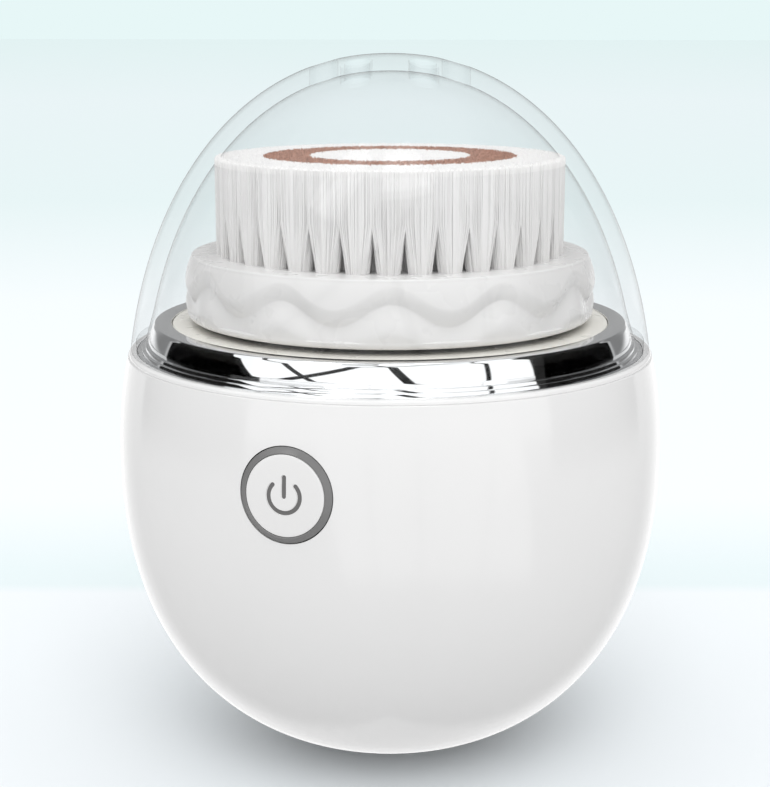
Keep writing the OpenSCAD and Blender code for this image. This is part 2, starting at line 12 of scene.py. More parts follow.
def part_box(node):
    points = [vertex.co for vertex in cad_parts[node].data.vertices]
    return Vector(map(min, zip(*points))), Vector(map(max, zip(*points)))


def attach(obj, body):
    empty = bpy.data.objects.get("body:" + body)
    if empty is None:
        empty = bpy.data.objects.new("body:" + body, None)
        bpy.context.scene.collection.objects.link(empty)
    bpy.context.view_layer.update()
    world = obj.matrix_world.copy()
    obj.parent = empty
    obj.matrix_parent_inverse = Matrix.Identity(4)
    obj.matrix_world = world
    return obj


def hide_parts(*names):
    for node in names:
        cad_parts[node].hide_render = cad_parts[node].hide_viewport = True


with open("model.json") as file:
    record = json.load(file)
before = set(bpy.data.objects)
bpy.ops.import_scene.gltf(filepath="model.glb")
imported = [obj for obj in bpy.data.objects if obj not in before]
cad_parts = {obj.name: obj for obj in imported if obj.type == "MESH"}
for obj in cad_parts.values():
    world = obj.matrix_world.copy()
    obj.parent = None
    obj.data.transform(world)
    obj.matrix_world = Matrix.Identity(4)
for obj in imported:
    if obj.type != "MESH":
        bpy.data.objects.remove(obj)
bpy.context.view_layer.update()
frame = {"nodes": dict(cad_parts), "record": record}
MM = 0.001

# ---------------------------------------------------------------- driving sizes, in millimetres


def top_of(node):
    """Height of a CAD node's top."""
    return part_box(node)[1].z / MM


def foot_of(node):
    """Height of a CAD node's underside."""
    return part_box(node)[0].z / MM


BODY_R = 37.5
WAIST_Z = 41.45
BOWL_H = 42.65
BOWL_POWER = 2.34
SHOULDER_H = 49.0
BASE_Z = foot_of("body_shell")
RIM_Z = top_of("body_shell")
BODY_WALL = 2.2
LEDGE_R = 34.9
LEDGE_Z = 54.3

COVER_R = 36.5
COVER_Z = 43.32
COVER_H = top_of("dome_cover") - COVER_Z
COVER_POWER = 2.14
COVER_WALL = 2.3
VENT_R = 1.95
VENT_RING_R = 8.9
VENTS = 6
SET_DOWN = 19.25

HEAD_Z = foot_of("brush_base")
HEAD_R = 28.25
HEAD_WIDEST_Z = 63.3
BRISTLE_Z = top_of("brush_base") - 0.1
TIP_Z = top_of("outer_bristles")
WAVES = 12
HEAD_TURN = 9.25

BUTTON_Z = 43.7
PORT_Z = 24.0


def body_radius(z, inset=0.0):
    """Radius of the body at height z, taken in by inset."""
    if z < WAIST_Z:
        share = min(1.0, (WAIST_Z - z) / (BOWL_H - inset))
        return (BODY_R - inset) * (1 - share**BOWL_POWER) ** (1 / BOWL_POWER)
    return (BODY_R - inset) * math.sqrt(1 - ((z - WAIST_Z) / (SHOULDER_H - inset)) ** 2)


def cover_radius(z, inset=0.0):
    """Radius of the cover at height z, taken in by inset."""
    share = min(1.0, (z - COVER_Z) / (COVER_H - inset))
    return (COVER_R - inset) * (1 - share**COVER_POWER) ** (1 / COVER_POWER)


# ---------------------------------------------------------------- camera

CAMERA_DISTANCE = 220.0
CAMERA_HEIGHT = 97.8
CAMERA_PITCH = 12.68
CAMERA_TURN = 19.65
CAMERA_LENS = 73.51
CAMERA_SHIFT = -0.00635


def make_camera():
    """Camera a little above the object and to the right of the button, looking slightly down."""
    data = bpy.data.cameras.new("camera")
    data.sensor_width = 36
    data.lens = CAMERA_LENS
    data.shift_x = CAMERA_SHIFT
    data.clip_start = 0.01
    camera = bpy.data.objects.new("camera", data)
    bpy.context.scene.collection.objects.link(camera)
    turn = math.radians(CAMERA_TURN)
    camera.location = Vector((math.sin(turn), -math.cos(turn), 0)) * CAMERA_DISTANCE * MM
    camera.location.z = CAMERA_HEIGHT * MM
    camera.rotation_euler = (math.radians(90 - CAMERA_PITCH), 0, turn)
    bpy.context.scene.camera = camera


make_camera()

# ---------------------------------------------------------------- mesh helpers

TINY = 1e-6


def mesh_object(name, points, faces, sharp=35):
    """New object from points in millimetres, shaded smooth across edges flatter than sharp."""
    mesh = bpy.data.meshes.new(name)
    mesh.from_pydata([Vector(p) * MM for p in points], [], faces)
    mesh.validate()
    piece = bpy.data.objects.new(name, mesh)
    bpy.context.scene.collection.objects.link(piece)
    smooth(piece, sharp)
    return piece


def smooth(piece, sharp):
    """Smooth shading across edges flatter than sharp, in degrees."""
    piece.data.shade_smooth()
    piece.data.set_sharp_from_angle(angle=math.radians(sharp))


def lathe(name, profile, segments=256, closed=True, sharp=35):
    """Turns a profile of (radius, height) points; a radius may be a function of the angle."""
    points, rows = [], []
    for r, z in profile:
        if not callable(r) and r < TINY:
            rows.append([len(points)])
            points.append((0, 0, z))
            continue
        rows.append(range(len(points), len(points) + segments))
        for k in range(segments):
            a = 2 * math.pi * k / segments
            radius = r(a) if callable(r) else r
            points.append((radius * math.cos(a), radius * math.sin(a), z))
    pairs = list(zip(rows, rows[1:]))
    if closed:
        pairs.append((rows[-1], rows[0]))
    faces = []
    for low, high in pairs:
        if len(low) == 1 and len(high) == 1:
            continue
        for k in range(segments):
            n = (k + 1) % segments
            if len(low) == 1:
                faces.append((low[0], high[n], high[k]))
            elif len(high) == 1:
                faces.append((low[k], low[n], high[0]))
            else:
                faces.append((low[k], low[n], high[n], high[k]))
    return mesh_object(name, points, faces, sharp)


def arc(centre, radius, start, end, steps=6):
    """Points on a circle in the profile's plane, from angle start to end in degrees."""
    angles = [math.radians(start + (end - start) * i / steps) for i in range(steps + 1)]
    return [(centre[0] + radius * math.cos(a), centre[1] + radius * math.sin(a)) for a in angles]


def cut(piece, *tools):
    """Takes the tools' volume out of the piece and deletes the tools."""
    for tool in tools:
        modifier = piece.modifiers.new("cut", "BOOLEAN")
        modifier.object = tool
        modifier.solver = "EXACT"
    bpy.context.view_layer.update()
    graph = bpy.context.evaluated_depsgraph_get()
    made = bpy.data.meshes.new_from_object(piece.evaluated_get(graph))
    piece.modifiers.clear()
    piece.data = made
    for tool in tools:
        bpy.data.objects.remove(tool)


def rod(name, r, start, end, segments):
    """Plain cutter along the line from start to end, in millimetres."""
    start, end = Vector(start), Vector(end)
    turn = (end - start).to_track_quat("Z", "Y")
    length = (end - start).length
    piece = lathe(name, [(0.0, 0.0), (r, 0.0), (r, length), (0.0, length)], segments, closed=False)
    piece.data.transform(Matrix.Translation(start * MM) @ turn.to_matrix().to_4x4())
    return piece


def exact_normal(point, surfaces):
    """Normal of the turned surface that the point lies on, or None."""
    tolerance, slack, axis_r, step = 2e-3, 1e-4, 0.5, 0.02
    x, y, z = point
    r, found = math.hypot(x, y), None
    for radius, sign, low, high in surfaces:
        if low - slack <= z <= high + slack and abs(radius(z) - r) < tolerance and r > axis_r:
            a, b = max(low, z - step), min(high, z + step)
            slope = (radius(b) - radius(a)) / max(b - a, TINY)
            found = Vector((x / r, y / r, -slope)).normalized() * sign
    return found


def true_normals(piece, surfaces):
    """Gives the corners that lie on a turned surface that surface's exact normal. Each surface is a
    radius as a function of height, the sign of its outward direction, and a height range."""
    agreement = 0.85
    mesh = piece.data
    smooth(piece, 30)
    normals = [n.vector.copy() for n in mesh.corner_normals]
    exact = [exact_normal(v.co / MM, surfaces) for v in mesh.vertices]
    for face in mesh.polygons:
        for corner, vertex in zip(face.loop_indices, face.vertices):
            normal = exact[vertex]
            if normal is not None and normal.dot(face.normal) > agreement:
                normals[corner] = normal
    mesh.normals_split_custom_set(normals)


# ---------------------------------------------------------------- material helpers


class Nodes:
    """Short ways to add and link the nodes of a tree."""

    tree = None

    def add(self, kind, **settings):
        node = self.tree.nodes.new(kind)
        for key, value in settings.items():
            setattr(node, key, value)
        return node

    def link(self, source, target):
        self.tree.links.new(source, target)

    def math(self, operation, *values):
        """Result of a Math node; each value is a number or another node's output."""
        node = self.add("ShaderNodeMath", operation=operation)
        for socket, value in zip(node.inputs, values):
            if isinstance(value, (int, float)):
                socket.default_value = value
            else:
                self.link(value, socket)
        return node.outputs[0]


class Shader(Nodes):
    """A node material with one Principled shader, and short ways to wire patterns into it."""

    def __init__(self, name, colour, roughness, **sockets):
        self.material = bpy.data.materials.new(name)
        self.material.use_nodes = True
        self.tree = self.material.node_tree
        self.principled = self.tree.nodes["Principled BSDF"]
        self.principled.inputs["Base Color"].default_value = (*colour, 1)
        self.principled.inputs["Roughness"].default_value = roughness
        for socket, value in sockets.items():
            self.principled.inputs[socket.replace("_", " ")].default_value = value
        self.place = self.add("ShaderNodeTexCoord").outputs["Object"]

    def noise(self, scale, detail=3.0, stretch=(1, 1, 1)):
        """Noise of that many cells a metre, its space stretched along each axis."""
        mapping = self.add("ShaderNodeMapping")
        mapping.inputs["Scale"].default_value = stretch
        self.link(self.place, mapping.inputs["Vector"])
        node = self.add("ShaderNodeTexNoise")
        node.inputs["Scale"].default_value = scale
        node.inputs["Detail"].default_value = detail
        self.link(mapping.outputs["Vector"], node.inputs["Vector"])
        return node.outputs["Fac"]

    def ramp(self, factor, stops):
        """Colour at factor along stops of (position, colour)."""
        node = self.add("ShaderNodeValToRGB")
        elements = node.color_ramp.elements
        while len(elements) < len(stops):
            elements.new(0.5)
        for element, (position, colour) in zip(elements, stops):
            element.position = position
            element.color = (*colour, 1)
        self.link(factor, node.inputs["Fac"])
        return node.outputs["Color"]

    def spread(self, factor, low, high):
        """The middle of a noise factor's range turned into low to high."""
        node = self.add("ShaderNodeMapRange")
        node.inputs["From Min"].default_value = 0.3
        node.inputs["From Max"].default_value = 0.7
        node.inputs["To Min"].default_value = low
        node.inputs["To Max"].default_value = high
        self.link(factor, node.inputs["Value"])
        return node.outputs["Result"]

    def colours(self, factor, first, second):
        self.link(self.ramp(factor, [(0.3, first), (0.7, second)]), self.principled.inputs["Base Color"])

    def rough(self, factor, low, high):
        self.link(self.spread(factor, low, high), self.principled.inputs["Roughness"])

    def multiply(self, first, second):
        """Product of two colour outputs."""
        mix = self.add("ShaderNodeMix", data_type="RGBA", blend_type="MULTIPLY")
        mix.inputs["Factor"].default_value = 1.0
        self.link(first, mix.inputs["A"])
        self.link(second, mix.inputs["B"])
        return mix.outputs["Result"]

    def bump(self, factor, height_mm):
        node = self.add("ShaderNodeBump")
        node.inputs["Distance"].default_value = height_mm * MM
        node.inputs["Strength"].default_value = 1.0
        self.link(factor, node.inputs["Height"])
        self.link(node.outputs["Normal"], self.principled.inputs["Normal"])


def tint(colour, factor):
    """The colour made lighter or darker by factor."""
    return tuple(min(1.0, c * factor) for c in colour)


def moulded(name, colour, roughness, grain_mm=0.35, height_mm=0.004, vary=0.03, **sockets):
    """Moulded plastic or rubber: faint mottling, a fine skin, and uneven gloss."""
    shader = Shader(name, colour, roughness, **sockets)
    shader.colours(shader.noise(90), tint(colour, 1 - vary), tint(colour, 1 + vary))
    shader.rough(shader.noise(260, 4), roughness * 0.85, roughness * 1.2)
    shader.bump(shader.noise(1000 / grain_mm, 2), height_mm)
    return shader.material


def metal(name, colour, roughness, stretch=(1, 1, 1)):
    """Plain metal with a fine grain, drawn out along an axis where stretch says so."""
    shader = Shader(name, colour, roughness, Metallic=1.0)
    grain = shader.noise(1500, 4, stretch)
    shader.colours(grain, tint(colour, 0.92), tint(colour, 1.05))
    shader.rough(grain, roughness * 0.8, roughness * 1.3)
    shader.bump(grain, 0.002)
    return shader.material


def filament(name, shaded_root_colour, tip_colour, streak_tone=0.985):
    """Fine nylon filament, faintly streaked along its length, with painted shade darker at its root and
    paler at its tip.
    """
    shader = Shader(name, tip_colour, 0.45)
    shader.principled.inputs["Specular IOR Level"].default_value = 0.2
    split = shader.add("ShaderNodeSeparateXYZ")
    shader.link(shader.place, split.inputs["Vector"])
    height = shader.add("ShaderNodeMapRange")
    height.inputs["From Min"].default_value = BRISTLE_Z * MM
    height.inputs["From Max"].default_value = TIP_Z * MM
    shader.link(split.outputs["Z"], height.inputs["Value"])
    # painted shade: the colour runs from a darker root, where the tufts shade one another, to a paler, lit
    # tip
    painted_root_shade = shader.ramp(height.outputs["Result"], [(0.0, shaded_root_colour), (0.8, tip_colour)])
    streak = shader.noise(2600, 2, (1, 1, 0.02))
    streaks = shader.ramp(streak, [(0.35, (streak_tone,) * 3), (0.6, (1, 1, 1))])
    shader.link(shader.multiply(painted_root_shade, streaks), shader.principled.inputs["Base Color"])
    return shader.material


def clear_plastic(name):
    """Clear moulded plastic: bare where it faces the eye, greyer and brighter along its edges."""
    shader = Shader(name, (1, 1, 1), 0.0)
    facing = shader.add("ShaderNodeLayerWeight").outputs["Facing"]
    through = shader.add("ShaderNodeBsdfTransparent")
    passed = ((0.0, 0.996), (0.5, 0.988), (0.8, 0.965), (0.92, 0.86), (1.0, 0.38))
    shader.link(shader.ramp(facing, [(at, (0.997 * t, 0.999 * t, t)) for at, t in passed]),
                through.inputs["Color"])
    mirror = shader.add("ShaderNodeBsdfGlossy")
    mirror.inputs["Roughness"].default_value = 0.03
    mirrored = ((0.0, 0.015), (0.6, 0.028), (0.85, 0.08), (1.0, 0.38))
    share = shader.ramp(facing, [(at, (t,) * 3) for at, t in mirrored])
    mix = shader.add("ShaderNodeMixShader")
    shader.link(share, mix.inputs["Fac"])
    shader.link(through.outputs["BSDF"], mix.inputs[1])
    shader.link(mirror.outputs["BSDF"], mix.inputs[2])
    shader.link(mix.outputs["Shader"], shader.tree.nodes["Material Output"].inputs["Surface"])
    shader.tree.nodes.remove(shader.principled)
    return shader.material


def chrome(name):
    """Bright plating with the faintest unevenness."""
    shader = Shader(name, (0.9, 0.91, 0.92), 0.03, Metallic=1.0)
    shader.rough(shader.noise(400, 3), 0.02, 0.05)
    shader.bump(shader.noise(300, 2), 0.0015)
    return shader.material


MATERIALS = {
    "body_white": moulded("body_white", (0.85, 0.85, 0.85), 0.13, 1.6, 0.002, 0.006,
                          Coat_Weight=0.3, Coat_Roughness=0.05),
    "button_white": moulded("button_white", (0.84, 0.838, 0.837), 0.16, 1.2, 0.002, 0.008),
    "grey_ring": moulded("grey_ring", (0.2, 0.199, 0.199), 0.32, 0.3, 0.004),
    "symbol_grey": moulded("symbol_grey", (0.15, 0.148, 0.147), 0.35, 0.3, 0.004),
    "soft_grey": moulded("soft_grey", (0.5, 0.5, 0.5), 0.7),
    "soft_white": moulded("soft_white", (0.8, 0.8, 0.8), 0.55),
    "dark_plastic": moulded("dark_plastic", (0.03, 0.03, 0.03), 0.45),
    "inner_white": moulded("inner_white", (0.75, 0.75, 0.73), 0.45),
    "gear_nylon": moulded("gear_nylon", (0.72, 0.67, 0.52), 0.4),
    "deck_cream": moulded("deck_cream", (0.9, 0.88, 0.82), 0.3, 0.6, 0.003, 0.01),
    "head_white": moulded("head_white", (0.81, 0.803, 0.797), 0.28, 0.8, 0.002, 0.008),
    "board_green": moulded("board_green", (0.02, 0.16, 0.06), 0.3),
    "cell_wrap": moulded("cell_wrap", (0.05, 0.16, 0.4), 0.25),
    "wire_red": moulded("wire_red", (0.5, 0.02, 0.02), 0.4),
    "wire_blue": moulded("wire_blue", (0.02, 0.06, 0.4), 0.4),
    "wire_black": moulded("wire_black", (0.02, 0.02, 0.02), 0.4),
    "seal_rubber": moulded("seal_rubber", (0.03, 0.03, 0.03), 0.6),
    "screw_steel": metal("screw_steel", (0.55, 0.55, 0.55), 0.35),
    "motor_steel": metal("motor_steel", (0.6, 0.6, 0.61), 0.28, (1, 1, 0.05)),
    "bronze": metal("bronze", (0.55, 0.36, 0.16), 0.4),
    "bright_chrome": chrome("bright_chrome"),
    # the first colour of each bristle material is its painted root shade, the second its lit tip
    "bristle_white": filament("bristle_white", (0.84, 0.832, 0.826), (0.93, 0.924, 0.92)),
    "bristle_copper": filament("bristle_copper", (0.5, 0.3, 0.23), (0.62, 0.39, 0.31), 0.55),
    "clear_plastic": clear_plastic("clear_plastic"),
}
for entry in frame["record"]["subparts"]:
    node = frame["nodes"][entry["node"]]
    node.data.materials.clear()
    node.data.materials.append(MATERIALS[entry["material_slot"]])


def finish_piece(piece, body, slot, *nodes):
    """Gives a piece its material, its body, and the CAD nodes that it stands for."""
    piece.data.materials.clear()
    piece.data.materials.append(MATERIALS[slot])
    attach(piece, body)
    if nodes:
        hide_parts(*nodes)


# ---------------------------------------------------------------- body


def side_heights(low, high, steps):
    """Heights from low to high, closer together near low."""
    return [low + (high - low) * (1 - math.cos(math.pi / 2 * i / steps)) for i in range(steps + 1)]


LIP_ROUND = 0.5
FOOT_ROUND = 0.25
PAD_R = 10.95
PAD_Z = 1.3
FLOOR_Z = 3.5
CREASE_Z = RIM_Z - 0.62
BUTTON_HOLE_R = 6.06
PORT_HOLE_R = 4.56
PORT_FLOOR_Y = 31.9


def make_shell():
    """Outer casing: a closed shell with a fine crease under its rounded rim."""
    rim_r = body_radius(RIM_Z)
    side_low, side_high = BASE_Z + FOOT_ROUND, CREASE_Z - 0.16
    lower = [(body_radius(z), z) for z in side_heights(side_low, WAIST_Z, 60)]
    upper = [(body_radius(z), z) for z in np.linspace(WAIST_Z + 0.8, side_high, 18)]
    crease = [(body_radius(CREASE_Z) - d, CREASE_Z + h)
              for d, h in ((0.02, -0.1), (0.1, -0.04), (0.12, 0.0), (0.1, 0.04), (0.03, 0.1))]
    lip = arc((rim_r - LIP_ROUND, RIM_Z - LIP_ROUND), LIP_ROUND, 0, 90, 8)
    inner = [(body_radius(z, BODY_WALL), z) for z in side_heights(FLOOR_Z, LEDGE_Z, 40)]
    base_r = body_radius(side_low)
    profile = [(PAD_R, PAD_Z), (PAD_R, BASE_Z), (base_r - 0.5, BASE_Z), (base_r - 0.15, BASE_Z + 0.06)]
    profile += lower + upper + crease + lip
    profile += [(LEDGE_R, RIM_Z), (LEDGE_R, LEDGE_Z)] + inner[::-1] + [(0, FLOOR_Z), (0, PAD_Z)]
    shell = lathe("outer_casing", profile, 320)
    outside_y, inside_y = 45, 30
    cut(shell,
        rod("button_hole", BUTTON_HOLE_R, (0, -outside_y, BUTTON_Z), (0, -inside_y, BUTTON_Z), 128),
        rod("port_hole", PORT_HOLE_R, (0, PORT_FLOOR_Y, PORT_Z), (0, outside_y, PORT_Z), 128))
    true_normals(shell, [(body_radius, 1, side_low, side_high)])
    finish_piece(shell, "handle", "body_white", "body_shell")


def on_body(x, z, proud, side=-1):
    """Point on the body's front (side -1) or back, standing proud of it along Y."""
    r = body_radius(z)
    return (x, side * (math.sqrt(max(0.0, r * r - x * x)) + proud), z)


def face_patch(name, centre_z, profile, rows, side=-1, segments=128):
    """Round piece whose face follows the body. profile is (radius, proud) from its middle outwards, and
    rows are (radius, distance from the axis along Y) behind it. A radius of 0 closes the middle."""
    points, rings = [], []
    for follows, outline in ((True, profile), (False, rows)):
        for r, out in outline:
            count = 1 if r == 0 else segments
            rings.append(range(len(points), len(points) + count))
            for k in range(count):
                a = 2 * math.pi * k / segments
                x, z = r * math.cos(a), centre_z + r * math.sin(a)
                points.append(on_body(x, z, out, side) if follows else (x, side * out, z))
    faces = []
    loop = list(zip(rings, rings[1:]))
    if len(rings[0]) > 1 and len(rings[-1]) > 1:
        loop.append((rings[-1], rings[0]))
    for inner, outer in loop:
        for k in range(segments):
            n = (k + 1) % segments
            if len(inner) == 1:
                face = (inner[0], outer[k], outer[n])
            elif len(outer) == 1:
                face = (inner[k], outer[0], inner[n])
            else:
                face = (inner[k], outer[k], outer[n], inner[n])
            faces.append(face if side < 0 else face[::-1])
    return mesh_object(name, points, faces, 40)


def make_button():
    """Grey ring, white cap with its round-edged face, and the inlaid power symbol."""
    outer, inner, edge, proud = 5.94, 5.13, 0.1, 0.36
    ring = [(inner, proud - edge)]
    ring += [(inner + edge * (1 - math.cos(a)), proud - edge * (1 - math.sin(a)))
             for a in np.radians([20, 45, 70, 90])]
    ring += [(outer - edge * (1 - math.sin(a)), -0.02 - edge * (1 - math.cos(a)))
             for a in np.radians([0, 30, 60, 90])]
    ring_back_y, cap_back_y = 33.7, 33.4
    bezel = face_patch("button_ring", BUTTON_Z, ring, [(outer, ring_back_y), (inner, ring_back_y)])
    finish_piece(bezel, "handle", "grey_ring", "button_bezel")

    cap_r, cap_edge, level = 5.08, 0.12, 0.34
    cap = [(0, level)] + [(r, level) for r in np.linspace(0.4, cap_r - cap_edge, 14)]
    cap += [(cap_r - cap_edge * (1 - math.sin(a)), level - cap_edge * (1 - math.cos(a)))
            for a in np.radians([20, 40, 60, 75, 90])]
    face = face_patch("button_face", BUTTON_Z, cap, [(cap_r, cap_back_y), (0, cap_back_y)])
    make_symbol(face, level)
    finish_piece(face, "button", "button_white", "button_cap")


def make_symbol(face, level):
    """Generic power sign: an open ring and an upright bar, inlaid in grooves in the button's face."""
    radius, width, opening, bar_top = 2.02, 0.66, 47, 2.37
    sunk, above, play, thickness = 0.13, 0.3, 0.04, 0.25
    centre = BUTTON_Z - 0.06
    angles = np.radians(np.linspace(90 + opening, 450 - opening, 64))
    open_ring = [(radius * math.cos(a), centre + radius * math.sin(a)) for a in angles]
    bar = [(0.0, centre + h) for h in np.linspace(bar_top, 0.0, 12)]
    grooves = strokes("symbol_groove", (open_ring, bar), width, level + above, above + sunk)
    symbol = strokes("power_sign", (open_ring, bar), width - play, level - sunk, thickness)
    cut(face, grooves)
    smooth(face, 40)
    finish_piece(symbol, "button", "symbol_grey", "power_symbol")


def strokes(name, lines, width, proud, depth):
    """One object with a round-ended stroke along each line."""
    points, faces = [], []
    for line in lines:
        more, quads = stroke(line, width, proud, depth)
        faces += [tuple(i + len(points) for i in q) for q in quads]
        points += more
    piece = mesh_object(name, points, faces, 50)
    fix_outward(piece)
    return piece


def half_turn(centre, start, steps=8):
    """Points of a half-round end that starts at start, without its first and last."""
    arm = start - Vector(centre)
    turns = [math.pi * i / steps for i in range(1, steps)]
    return [Vector(centre) + Vector((arm.x * math.cos(t) - arm.y * math.sin(t),
                                     arm.x * math.sin(t) + arm.y * math.cos(t))) for t in turns]


def filled(outline):
    """Triangles that fill a closed outline."""
    shape = bmesh.new()
    ring = [shape.verts.new(Vector(p)) for p in outline]
    edges = [shape.edges.new(pair) for pair in zip(ring, ring[1:] + ring[:1])]
    made = bmesh.ops.triangle_fill(shape, use_beauty=True, edges=edges)["geom"]
    shape.verts.index_update()
    triangles = [tuple(v.index for v in f.verts) for f in made if isinstance(f, bmesh.types.BMFace)]
    shape.free()
    return triangles


def stroke(line, width, proud, depth):
    """Points and faces of a stroke with half-round ends, laid proud of the button's face."""
    bevel_h, bevel_share = 0.03, 0.82
    left, right = [], []
    for i, p in enumerate(line):
        ahead, behind = line[min(i + 1, len(line) - 1)], line[max(i - 1, 0)]
        painted_root_shade = (Vector(ahead) - Vector(behind)).normalized()
        across = Vector((-painted_root_shade.y, painted_root_shade.x)) * width / 2
        left.append(Vector(p) + across)
        right.append(Vector(p) - across)
    outline = right + half_turn(line[-1], right[-1]) + left[::-1] + half_turn(line[0], left[0])
    middle = [Vector(p) for p in line]
    nearest = [min(middle, key=lambda m, q=q: (m - q).length) for q in outline]
    points = []
    for share, lift in ((1.0, -depth), (1.0, -bevel_h), (bevel_share, 0.0)):
        for q, m in zip(outline, nearest):
            p = m + (q - m) * share
            points.append(on_body(p.x, p.y, proud + lift))
    n = len(outline)
    faces = [(level * n + k, level * n + (k + 1) % n, (level + 1) * n + (k + 1) % n, (level + 1) * n + k)
             for level in (0, 1) for k in range(n)]
    faces += [tuple(2 * n + i for i in triangle) for triangle in filled(points[2 * n:])]
    faces.append(tuple(range(n))[::-1])
    return points, faces


def fix_outward(piece):
    """Turns every face outwards."""
    shape = bmesh.new()
    shape.from_mesh(piece.data)
    bmesh.ops.recalc_face_normals(shape, faces=shape.faces)
    shape.to_mesh(piece.data)
    shape.free()


def make_port_plug():
    """Soft plug at the back: its dimpled head follows the body, over a hollow stem."""
    r, edge, sunk, dimple = 4.45, 0.4, -0.08, 0.2
    stem_r, bore_r, stem_y, bore_y = 1.75, 0.9, 26.9, 31.0
    head = [(0, sunk - dimple), (1.2, sunk - dimple), (1.6, sunk)]
    head += [(q, sunk) for q in np.linspace(2.0, r - edge, 8)]
    head += [(r - edge * (1 - math.sin(a)), sunk - edge * (1 - math.cos(a)))
             for a in np.radians([20, 45, 70, 90])]
    rows = [(r, PORT_FLOOR_Y), (stem_r, PORT_FLOOR_Y), (stem_r, stem_y + 0.3), (stem_r - 0.25, stem_y),
            (bore_r, stem_y), (bore_r, bore_y), (0, bore_y + 0.2)]
    plug = face_patch("socket_plug", PORT_Z, head, rows, side=1)
    finish_piece(plug, "plug", "soft_white", "port_plug")


# ---------------------------------------------------------------- ring and deck

LIP_Z = 58.2


def make_ring():
    """Bright ring: three fine leaning steps at its foot, a leaning wall and a flat top."""
    flange_r, wall_r, top_r, hole_r, bore_r = 34.84, 33.3, 32.38, 30.05, 31.4
    foot_z, step_z, wall_z = 54.32, 55.5, 56.76
    groove = 0.06
    top_z = top_of("chrome_ring")
    steps, soft, riser_lean = 3, 0.09, 14
    tread, riser = (flange_r - wall_r) / steps, (wall_z - step_z) / steps
    drawn_in = riser * math.tan(math.radians(riser_lean))
    profile = [(bore_r, foot_z), (flange_r, foot_z), (flange_r, step_z - riser)]
    for i in range(steps):
        r, z = flange_r - tread * i, step_z + riser * i
        profile += arc((r - drawn_in - soft, z - soft), soft, riser_lean, 90, 4)
        profile += [(r - tread + 0.16, z), (r - tread + 0.1, z - groove),
                    (r - tread + 0.02, z - groove), (r - tread, z + 0.04)]
    lean = math.degrees(math.atan2(wall_r - top_r, top_z - wall_z))
    barrel = 0.06
    profile += [(wall_r + (top_r - wall_r) * t + 4 * barrel * t * (1 - t), wall_z + (top_z - wall_z) * t)
                for t in np.linspace(0, 0.9, 13)]
    outer_edge, inner_edge = 0.22, 0.12
    profile += arc((top_r - 0.2, top_z - outer_edge), outer_edge, lean, 90, 6)
    profile += arc((hole_r + inner_edge, top_z - inner_edge), inner_edge, 90, 180, 4)
    profile += [(hole_r, LIP_Z), (bore_r, LIP_Z)]
    ring = lathe("bright_ring", profile, 384, sharp=28)
    finish_piece(ring, "handle", "bright_chrome", "chrome_ring")


def make_deck():
    """Off-white disc under the head, with a soft edge and a shallow gutter round the shaft seal."""
    r, bore_r, flange_r, flange_z, edge = 29.95, 6.05, 31.3, LIP_Z - 0.05, 0.25
    gutter_r, inner_gutter_r, gutter, slant = 23.6, 10.4, 0.25, 0.4
    top_z, low_z = top_of("deck_plate"), foot_of("deck_plate")
    profile = [(bore_r, low_z), (flange_r, low_z), (flange_r, flange_z), (r, flange_z)]
    profile += arc((r - edge, top_z - edge), edge, 0, 90, 5)
    profile += [(gutter_r + slant, top_z), (gutter_r, top_z - gutter), (inner_gutter_r, top_z - gutter),
                (inner_gutter_r - slant, top_z), (bore_r + 0.25, top_z), (bore_r, top_z - 0.15)]
    deck = lathe("deck_disc", profile, 256)
    finish_piece(deck, "handle", "deck_cream", "deck_plate")


# ---------------------------------------------------------------- brush head

CREST_Z = 65.4
TROUGH_Z = 62.5
WAVE_TURN = 10.9
WAVE_DEPTH = 1.0
WAVE_REACH = 2.3
WAVE_FADE = 3.7
HEAD_TOP_R = 27.0
HEAD_FOOT_IN = 0.75
EDGE_TOP = 0.35
EDGE_LOW = 1.0
CUP_R = 25.2
CUP_Z = 66.4
HUB_R = 7.6
HUB_BORE_R = 5.1
HUB_Z = 60.2


def head_side(z):
    """Radius of the head's side at height z, without its waves."""
    if z < HEAD_WIDEST_Z:
        return HEAD_R - HEAD_FOOT_IN * ((z - HEAD_WIDEST_Z) / (HEAD_WIDEST_Z - HEAD_Z)) ** 2
    return HEAD_R - (HEAD_R - HEAD_TOP_R) * ((z - HEAD_WIDEST_Z) / (BRISTLE_Z - HEAD_WIDEST_Z)) ** 2.2


def wave_depth(z, a):
    """How far the side is cut back at height z and angle a: most along a wavy line, above which it
    swells out again within a short reach and below which it fades slowly."""
    phase = WAVES * (a - math.radians(HEAD_TURN + WAVE_TURN))
    line = (CREST_Z + TROUGH_Z) / 2 + (CREST_Z - TROUGH_Z) / 2 * math.cos(phase)
    if z > line:
        return WAVE_DEPTH * max(0.0, 1 - (z - line) / WAVE_REACH) ** 1.35
    share = max(0.0, 1 - (line - z) / WAVE_FADE)
    return WAVE_DEPTH * share * share * (3 - 2 * share)


